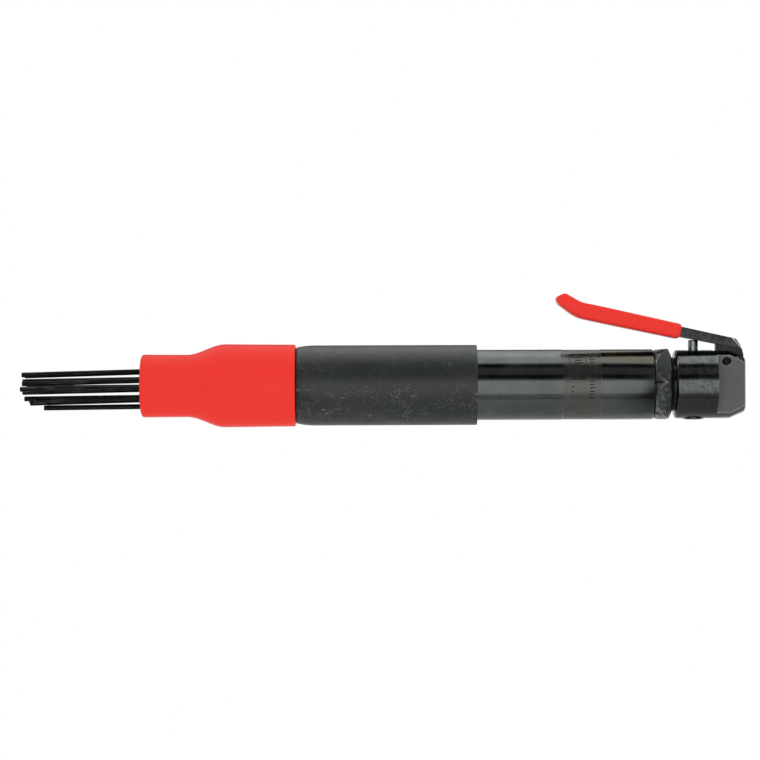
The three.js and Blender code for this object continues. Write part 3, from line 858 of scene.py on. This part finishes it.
def lever_point(run, off):
    """A place on the lever, by its distance past the bend's start and off the middle line."""
    bend_z = LEVER_ANCHOR[1] + (LEVER_ANCHOR[0] - BEND_X) * math.tan(LEVER_SLOPE)
    curved = min(max(run, 0), BEND_LENGTH)
    heading = LEVER_SLOPE + curved / BEND_RADIUS
    straight = run - curved
    x = BEND_X - BEND_RADIUS * (math.sin(heading) - math.sin(LEVER_SLOPE))
    z = bend_z + BEND_RADIUS * (math.cos(LEVER_SLOPE) - math.cos(heading))
    x -= straight * math.cos(heading)
    z += straight * math.sin(heading)
    return (x + off * math.sin(heading), z + off * math.cos(heading))


def run_of(x):
    """Distance before the bend of a place on the lever's straight stretch."""
    return (BEND_X - x) / math.cos(LEVER_SLOPE)


def edge_line(start, end, offset, steps=14):
    """Points along the lever, at an offset that may be a number or change with the share."""
    points = []
    for i in range(steps + 1):
        share = i / steps
        off = offset(share) if callable(offset) else offset
        points.append(lever_point(start + (end - start) * share, off))
    return points


def make_lever(material, tongue_shade_material, end_shade_material, rubbed):
    """Pressed bar with a bevelled rear end, and the tongue that the pin goes through."""
    half, width, reach = 3.05, 14.0, 12.0
    tail_top, tail_bottom = (-4.75, 27.15), (-1.75, 21.2)
    top = [tail_top, *edge_line(run_of(-40), reach, half)]
    bottom = [*reversed(edge_line(run_of(-40), reach, -half)), tail_bottom]
    bar = slab("lever_plate", top + bottom, width)
    fall, run = tail_top[1] - tail_bottom[1], tail_bottom[0] - tail_top[0]
    back, across = 1.1, 2.1
    pick(bar)
    bpy.ops.object.mode_set(mode="EDIT")
    for side in (-1, 1):
        square_on = [across * fall / math.hypot(fall, run), side * back,
                     across * run / math.hypot(fall, run)]
        corner = [tail_top[0] * MM, side * (width / 2 - across) * MM, tail_top[1] * MM]
        bpy.ops.mesh.select_all(action="SELECT")
        bpy.ops.mesh.bisect(plane_co=corner, plane_no=square_on, use_fill=True, clear_outer=True)
    tidy_mesh()
    plate_finish, tongue_shade_finish, end_shade_finish, edge_finish = range(4)
    coat(bar, material, tongue_shade_material, end_shade_material, rubbed)
    bar = rounded(bar, 0.4, 2, 30, edge_finish)
    tongue = slab("tongue", [(-14, 28), (-6.6, 27.0), (-5.0, 26.4), (-3.4, 25.2), (-2.2, 23.4),
                             (-1.2, 21.0), (-0.5, 18.4), (-0.15, 15.6), (-0.1, 13.2),
                             (-0.5, 11.9), (-1.8, 10.8), (-8.5, 9.75), (-11.1, 9.6),
                             (-13.0, 10.0), (-14.3, 11.0), (-15.1, 12.6), (-16.8, 19.7),
                             (-16.8, 26)], 2 * SLOT_HALF - 1)
    tongue = rounded(tongue, 0.35, 2)
    piece = combine(bar, [tongue], "UNION")
    hole = peg((PIN[0], -20, PIN[1]), (PIN[0], 20, PIN[1]), 2.35)
    piece = smooth(combine(piece, [hole]), 30)
    # Painted shade: the tongue's sides take a darker grey for the shade in the head's slot, and the
    # rear end's faces and bevels take near black.
    for face in piece.data.polygons:
        finish, rearward = face.material_index, face.normal.x
        if abs(face.normal.y) > 0.3 and abs(face.center.y) < SLOT_HALF * MM:
            face.material_index = tongue_shade_finish
        elif finish == edge_finish and face.center.x < -7 * MM:
            face.material_index = plate_finish
        elif finish == edge_finish and rearward > 0.7:
            face.material_index = end_shade_finish
        elif finish == plate_finish and rearward > 0.3 and face.center.z > 20 * MM:
            face.material_index = end_shade_finish
    return settle(piece, "lever", "lever_steel", material, "lever")


def make_lever_grip(material):
    """Dipped grip: thick and round-edged, drawn thinner where the tip turns up."""
    rear, reach, width = run_of(-38.0), 18.9, 18.0

    def above(share):
        """Height over the middle line: swells towards the bend, then thins to the tip."""
        return 4.5 + 0.4 * min(share / 0.6, 1) - 0.5 * max((share - 0.75) / 0.25, 0)

    def below(share):
        return -4.5 - 0.3 * min(share / 0.6, 1) + 1.3 * max((share - 0.80) / 0.20, 0)

    top = edge_line(rear, reach - 3.4, above, 30)
    bottom = edge_line(rear, reach - 3.9, below, 30)
    piece = slab("lever_dip", top + [lever_point(reach, -1.2)] + bottom[::-1], width)
    piece = rounded(piece, 2.2, 6, 40)
    slot_half, slot_width, slot_end = 3.4, 14.6, 12.6
    inside = edge_line(rear - 2, slot_end, slot_half) + edge_line(slot_end, rear - 2, -slot_half)
    piece = smooth(combine(piece, [slab("tool", inside, slot_width)]), 45)
    # Gloss doesn't see the grip; its reflection in the barrel is painted into the barrel's colour.
    piece.visible_glossy = False
    return settle(piece, "lever", "red_vinyl", material, "lever_grip")


def make_lever_pin(material):
    """Pin across the head, its ends sunk a little below the wrench flats."""
    low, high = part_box("lever_pin")
    sunk = 0.9
    half, radius = high.y / MM - sunk, (high.z - low.z) / 2 / MM
    profile = [(-half, 0), (-half, radius - 0.5), (-half + 0.5, radius), (half - 0.5, radius),
               (half, radius - 0.5), (half, 0)]
    piece = turned("lever_pin_rod", profile, PLAIN)
    pick(piece)
    piece.rotation_euler = (0, 0, math.pi / 2)
    piece.location = (PIN[0] * MM, 0, PIN[1] * MM)
    bpy.ops.object.transform_apply(location=True, rotation=True, scale=True)
    return settle(smooth(piece, 30), "root", "oxide_steel", material, "lever_pin")


# ---------------------------------------------------------------- inside
def coil(name, x0, x1, radius, wire, turns, steps_per_turn=24):
    """A wire ring wound along X by a Screw modifier, its cut ends filled."""
    let_go()
    bpy.ops.mesh.primitive_circle_add(vertices=12, radius=wire * MM,
                                      location=((x0 + wire) * MM, 0, radius * MM),
                                      rotation=(math.pi / 2, 0, 0))
    piece = named(name)
    bpy.ops.object.transform_apply(location=True, rotation=True, scale=True)
    screw = piece.modifiers.new("wind", "SCREW")
    screw.axis = "X"
    screw.angle = TURN * turns
    screw.screw_offset = (x1 - x0 - 2 * wire) * MM
    screw.steps = screw.render_steps = round(steps_per_turn * turns)
    screw.use_merge_vertices = False
    bpy.ops.object.modifier_apply(modifier=screw.name)
    bpy.ops.object.mode_set(mode="EDIT")
    bpy.ops.mesh.select_all(action="DESELECT")
    bpy.ops.mesh.select_non_manifold()
    bpy.ops.mesh.edge_face_add()
    tidy_mesh()
    return smooth(piece, 40)


def make_springs(material):
    """Both coil springs."""
    low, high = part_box("return_spring")
    front, rear = low.x / MM, high.x / MM
    spring = coil("return_coil", front, rear, 16.8, 1.15, 6.5)
    settle(spring, "root", "spring_steel", material, "return_spring")
    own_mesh(spring)
    low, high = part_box("throttle_spring")
    bottom, top = low.z / MM, high.z / MM
    spring = upright(coil("throttle_coil", bottom, top, 3.6, 0.35, 4.5))
    settle(spring, "root", "spring_steel", material, "throttle_spring")
    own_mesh(spring)


def make_hammer_parts(steel, rubber, nylon):
    """Piston, anvil and the pieces round the anvil, each a turned part."""
    front, rear, radius = span("piston")
    profile = [(front, 0), (front, 8.6), (front + 2, radius), (front + 13.4, radius),
               (front + 14.4, radius - 1), (front + 31.4, radius - 1), (front + 32.4, radius),
               (rear - 1, radius), (rear, radius - 1), (rear, 0)]
    piston = smooth(rounded(turned("hammer_piston", profile), 0.3, 2, 20))
    settle(piston, "hammer", "ground_steel", steel, "piston")

    front, rear, radius = span("anvil")
    profile = [(front, 0), (front, radius - 0.8), (front + 0.8, radius), (front + 8, radius),
               (front + 8, 9.6), (front + 8.3, 8.9), (front + 9.1, 8.5), (rear - 1, 8.5),
               (rear, 7.5), (rear, 0)]
    anvil = smooth(rounded(turned("anvil_block", profile), 0.25, 2, 40))
    settle(anvil, "anvil", "ground_steel", steel, "anvil")

    for node, name, bore, material, slot in (
            ("anvil_sleeve", "anvil_guide", 8.9, nylon, "nylon"),
            ("anvil_buffer", "anvil_cushion", 9.2, rubber, "seal_rubber"),
            ("spring_seat", "spring_washer", 15.6, steel, "ground_steel"),
            ("case_gasket", "case_washer", 8.0, rubber, "seal_rubber")):
        front, rear, radius = span(node)
        profile = [(front, bore), (front, radius), (rear, radius), (rear, bore)]
        piece = smooth(rounded(turned(name, profile), 0.25, 2))
        settle(piece, "root", slot, material, node)

    front, rear, radius = span("flutter_valve")
    disc = turned("flutter_disc", [(front, 2.4), (front, radius), (rear, radius), (rear, 2.4)])
    settle(smooth(rounded(disc, 0.2, 2)), "flutter_valve", "ground_steel", steel, "flutter_valve")


def make_holder(steel):
    """Cup with one loose hole for each needle, in rows a pitch apart."""
    front, rear, radius = span("needle_holder")
    plate_rear, cup, pitch, hole = front + 8, 15.9, 6.5, 1.9
    profile = [(front, 0), (front, radius), (rear, radius), (rear, cup), (plate_rear, cup),
               (plate_rear, 0)]
    piece = rounded(turned("needle_cup", profile), 0.3, 2)
    tools = []
    for row in (2, 1, 0, -1, -2):
        count = 5 - abs(row)
        for i in range(count):
            y = (i - (count - 1) / 2) * pitch
            z = row * pitch * math.sin(math.pi / 3)
            tools.append(peg((front - 1, y, z), (plate_rear + 1, y, z), hole, 20))
    piece = smooth(combine(piece, tools))
    return settle(piece, "needle_holder", "ground_steel", steel, "needle_holder")


def make_valve_cases(steel):
    """Both halves of the valve case with their ports and dowel holes, and the two dowels."""
    ports, port_circle, port, room_radius = 6, 6, 1.5, 9
    dowel_off_axis, dowel_hole = 11.9, 1.55
    for name, node, room in (("case_front", "valve_case_front", 0),
                             ("case_rear", "valve_case_rear", 3.2)):
        front, rear, radius = span(node)
        profile = [(front, 0), (front, radius), (rear, radius), (rear, 0)]
        if room:
            profile[:1] = [(front + room, 0), (front + room, room_radius), (front, room_radius)]
        piece = rounded(turned(name, profile), 0.3, 2)
        tools = []
        for i in range(ports):
            y, z = (port_circle * f(TURN * i / ports) for f in (math.cos, math.sin))
            tools.append(peg((front - 1, y, z), (rear + 1, y, z), port, 20))
        for z in (-dowel_off_axis, dowel_off_axis):
            tools.append(peg((front - 1, 0, z), (rear + 1, 0, z), dowel_hole, 20))
        settle(smooth(combine(piece, tools)), "root", "ground_steel", steel, node)
    for node in ("case_dowel_1", "case_dowel_2"):
        low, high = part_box(node)
        front, rear, radius = low.x / MM, high.x / MM, high.y / MM
        dowel = turned(f"pin_{node}", [(front, 0), (front, radius), (rear, radius), (rear, 0)], 24)
        dowel = rounded(dowel, 0.2, 2)
        dowel.location = (0, 0, (low.z + high.z) / 2)
        bpy.ops.object.transform_apply(location=True, rotation=True, scale=True)
        settle(smooth(dowel), "root", "ground_steel", steel, node)


def make_throttle_valve(steel, rubber):
    """Poppet, its rubber-faced washer and the two round seals."""
    low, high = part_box("throttle_valve")
    bottom, top = low.z / MM, high.z / MM
    profile = [(bottom, 0), (bottom, 1.9), (bottom + 0.3, 2.2), (bottom + 1.8, 2.2),
               (bottom + 1.8, 5.2), (bottom + 2.0, 5.4), (bottom + 3.2, 5.4), (bottom + 3.2, 2),
               (top, 2), (top, 0)]
    poppet = smooth(upright(turned("valve_poppet", profile, PLAIN)))
    settle(poppet, "throttle_valve", "ground_steel", steel, "throttle_valve")
    low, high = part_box("valve_washer")
    bottom, top, radius = low.z / MM, high.z / MM, high.y / MM
    ring = turned("valve_face", [(bottom, 2.4), (bottom, radius), (top, radius), (top, 2.4)], PLAIN)
    face = smooth(rounded(upright(ring), 0.2, 2))
    settle(face, "throttle_valve", "seal_rubber", rubber, "valve_washer")
    for node, name in (("plunger_oring", "plunger_ring"), ("valve_cap_oring", "cap_ring")):
        low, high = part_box(node)
        wire = (high.z - low.z) / 2
        let_go()
        bpy.ops.mesh.primitive_torus_add(
            major_radius=high.y - wire, minor_radius=wire, major_segments=48, minor_segments=16,
            location=(PLUNGER_X * MM, 0, (low.z + high.z) / 2))
        piece = named(name)
        bpy.ops.object.transform_apply(location=True, rotation=True, scale=True)
        settle(smooth(piece, 60), "root", "seal_rubber", rubber, node)


# ---------------------------------------------------------------- studio
FILL = 1.0           # how brightly floor and room light matte surfaces
FLOOR_SHINE = 0.5    # how bright the floor looks in gloss
ROOM_SHINE = 0.15    # how bright the room looks in gloss, between the panels
FLOOR_DEPTH = 1.2    # metres from the barrel axis down to the floor
STUDIO_X = -0.2


def add_camera():
    """Level view square to the barrel from its near side, leaning a fifth of a degree."""
    middle_x, middle_z, distance, lean = -0.218, 0.00315, 1.8, 0.2
    let_go()
    bpy.ops.object.camera_add(location=(middle_x, -distance, middle_z),
                              rotation=(math.pi / 2, math.radians(lean), 0))
    camera = bpy.context.object
    seen_width = 0.456
    camera.data.sensor_width = 36
    camera.data.lens = 36 * distance / seen_width
    camera.data.clip_start = 0.05
    bpy.context.scene.camera = camera


def add_panel(name, place, target, size, radiance):
    """A soft rectangular light that only gloss sees, at a place, facing a target."""
    let_go()
    bpy.ops.object.light_add(type="AREA", location=place)
    lamp = named(name)
    lamp.data.shape = "RECTANGLE"
    lamp.data.size, lamp.data.size_y = size
    lamp.data.energy = radiance * math.pi * size[0] * size[1]
    away = lamp.location - Vector(target)
    lamp.rotation_euler = away.to_track_quat("Z", "Y").to_euler()
    lamp.visible_camera = False
    lamp.visible_diffuse = False
    return lamp


def add_card(name, low, high, radiance, side=-1):
    """An upright panel in front of the tool, or behind it, from one height to another."""
    away, middle = 1.2 * side, (low + high) / 2
    return add_panel(name, (STUDIO_X, away, middle), (STUDIO_X, 0, middle), (1.4, high - low),
                     radiance)


def add_flag(name, low, high):
    """A black strip that gloss sees, and nothing else does."""
    let_go()
    middle = [(a + b) / 2 for a, b in zip(low, high)]
    bpy.ops.mesh.primitive_cube_add(size=1, location=middle)
    flag = named(name)
    flag.scale = [max(b - a, 0.002) for a, b in zip(low, high)]
    black = bpy.data.materials.new(name)
    black.use_nodes = True
    black.node_tree.nodes["Principled BSDF"].inputs["Base Color"].default_value = (0, 0, 0, 1)
    black.node_tree.nodes["Principled BSDF"].inputs["Specular IOR Level"].default_value = 0
    flag.data.materials.append(black)
    for ray in ("camera", "diffuse", "transmission", "shadow"):
        setattr(flag, f"visible_{ray}", False)


def by_ray(tree, seen, lit, mirrored):
    """A white light's strength: as the camera sees it, as it lights, and as gloss mirrors it."""
    path = put(tree, "ShaderNodeLightPath").outputs
    start = times(tree, path["Is Diffuse Ray"], lit)
    gloss = times(tree, path["Is Glossy Ray"], mirrored)
    direct = times(tree, path["Is Camera Ray"], seen)
    return plus(tree, plus(tree, start, gloss), direct)


def add_floor():
    """Pale floor, less bright in gloss towards its edges."""
    let_go()
    bpy.ops.mesh.primitive_plane_add(size=16, location=(STUDIO_X, 0, -FLOOR_DEPTH))
    floor = named("floor")
    material = bpy.data.materials.new("pale_floor")
    material.use_nodes = True
    tree = material.node_tree
    along, across, _ = along_axes(tree)
    off_centre = sums(tree, "ABSOLUTE", plus(tree, along, 0.3))
    inner = larger(tree, ramp(tree, off_centre, 0.55, 1.15, 1.0, 0.1),
                   ramp(tree, across, 0.1, 0.6))
    shine = times(tree, inner, FLOOR_SHINE)
    shine = times(tree, shine, ramp(tree, across, -1.12, -1.03, 0.3, 1.2))
    shine = times(tree, shine, ramp(tree, across, -0.9, -0.6, 1.0, 0.82))
    shine = times(tree, shine, ramp(tree, across, 0.3, 0.9, 1.0, 1.15))
    outer = larger(tree, ramp(tree, across, 1.2, 3.4, 1.0, 0.1),
                   ramp(tree, off_centre, 0.7, 1.2))
    shine = times(tree, shine, outer)
    strength = by_ray(tree, 1.0, FILL, shine)
    bright = put(tree, "ShaderNodeEmission", {"Color": (1, 1, 1, 1), "Strength": strength})
    tree.links.new(bright.outputs[0], tree.nodes["Material Output"].inputs[0])
    material.cycles.emission_sampling = "NONE"
    floor.data.materials.append(material)


def add_world():
    """White room, dim in gloss between the panels."""
    world = bpy.data.worlds.new("studio")
    bpy.context.scene.world = world
    world.use_nodes = True
    tree = world.node_tree
    room = tree.nodes["Background"].inputs
    room[0].default_value = (1, 1, 1, 1)
    tree.links.new(by_ray(tree, 1.0, FILL, ROOM_SHINE), room[1])
    world.cycles.sampling_method = "NONE"


def add_overhead(name, near, far, radiance):
    """A panel over the tool, facing down, between two distances across it."""
    height, middle = 0.8, (near + far) / 2
    return add_panel(name, (STUDIO_X, middle, height), (STUDIO_X, middle, 0), (1.4, far - near),
                     radiance)


def add_lights():
    """Panels over, before, behind and at both ends, and two black strips between them."""
    add_overhead("overhead_near", -0.235, 0.15, 1.05)
    add_overhead("overhead_middle", 0.15, 0.62, 1.4)
    add_overhead("overhead_far", 0.62, 1.15, 0.85)
    add_card("front_card", -0.69, 0.31, 0.88)
    add_card("front_card_foot", -FLOOR_DEPTH + 0.01, -0.69, 0.25)
    add_panel("rear_card", (STUDIO_X, 1.2, -0.15), (STUDIO_X, 0, -0.15), (4.4, 1.1), 0.6)
    for name, x in (("nose_card", -2.8), ("tail_card", 2.4)):
        add_panel(name, (x, 0.2, 0), (0, 0.2, 0), (1.4, 1.2), 0.5)
    left, right = STUDIO_X - 0.8, STUDIO_X + 0.8
    add_flag("overhead_rim", (left, -0.50, 0.8), (right, -0.235, 0.8))
    add_flag("card_top", (left, -1.2, 0.36), (right, -1.2, 0.78))


bpy.context.scene.view_settings.view_transform = "Standard"
add_camera()
add_world()
add_floor()
add_lights()

RED = (0.86, 0.0425, 0.031, 1)
red = red_vinyl("dipped_red", RED)
rubber_black = scuffed_rubber("scuffed_rubber", 24)
barrel_steel = oxided_steel("barrel_oxide", 21, painted_grip_reflection=0.75)
head_steel = oxided_steel("head_oxide", 20.5, mottle=0.7, rough=0.13, painted_underside_shade=0.8)
fitting_steel = oxided_steel("fitting_oxide", 6, rough=0.24, tone=0.55)
hidden_steel = oxided_steel("housing_oxide", 21, rough=0.3)
nut_steel = forged_scale("nut_scale")
band_steel = plate_steel("band_etched", (0.138, 0.139, 0.128, 1), 170, 0.2, (600, 60, 60), 0.02,
                         0.12, 1.0)
# Near black: painted shade for the floors of the stamped cuts in the barrel and for the slots in
# the nut.
stamped = plate_steel("stamp_painted_shade", (0.010, 0.010, 0.009, 1), 170, 0.6, metal=0.0)
flat_steel = plate_steel("milled_flat", (0.20, 0.20, 0.195, 1), 300, 0.5, (60, 60, 900), 0.04, 0.12,
                         wear_reach=1.3, wear_gain=4.6)
lever_grey = plate_steel("lever_plate_grey", (0.095, 0.096, 0.10, 1), 480, 0.4, (120, 900, 900),
                         0.10, 0.45)
# Painted shade: near black for the lever's rear end and the pin, darker grey for the lever tongue's
# sides.
painted_shade_black = plate_steel("painted_shade_black", (0.022, 0.022, 0.023, 1), 400, 0.4)
tongue_painted_shade = plate_steel("tongue_painted_shade", (0.055, 0.056, 0.057, 1), 600, 0.4, patchy=0.5)
rubbed = plate_steel("rubbed_edges", (0.66, 0.67, 0.66, 1), 420, 0.4, patchy=0.55, metal=0.3)
nut_cone = plate_steel("nut_cone", (0.27, 0.285, 0.28, 1), 420, 0.3, patchy=0.5, metal=1.0)
plunger_steel = oxided_steel("plunger_oxide", 6, rough=0.1, tone=2.2)
wire_black = needle_steel("needle_black")
cut_end = plate_steel("needle_cut_end", (0.16, 0.16, 0.16, 1), 600, 0.4, (300, 300, 300))
ground = inner_metal("ground_steel_oiled", (0.5, 0.51, 0.51, 1))
spring_wire = inner_metal("spring_wire", (0.22, 0.22, 0.23, 1), 0.35)
brass = inner_metal("turned_brass", (0.62, 0.43, 0.16, 1), 0.3)
seal = moulded("black_seal", (0.004, 0.004, 0.004, 1), 0.26)
nylon = moulded("natural_nylon", (0.66, 0.62, 0.5, 1), 0.4)

make_shroud(red)
make_housing(hidden_steel)
make_sleeve(rubber_black)
make_needles(wire_black, cut_end)
make_barrel(barrel_steel, band_steel, stamped)
make_nut(nut_steel, nut_cone, stamped)
make_neck_seal(seal)
make_head(head_steel, flat_steel, rubbed)
make_plunger(plunger_steel)
make_plunger_bushing(brass)
make_valve_cap(fitting_steel)
make_inlet(brass)
make_lever(lever_grey, tongue_painted_shade, painted_shade_black, rubbed)
make_lever_grip(red)
# The pin takes the near-black finish: partly its own dark oxide, partly painted shade for its ends
# sunk in the countersinks.
make_lever_pin(painted_shade_black)
make_springs(spring_wire)
make_hammer_parts(ground, seal, nylon)
make_holder(ground)
make_valve_cases(ground)
make_throttle_valve(ground, seal)

screen = frame["nodes"]["inlet_screen"]
screen.data.materials.clear()
screen.data.materials.append(brass)
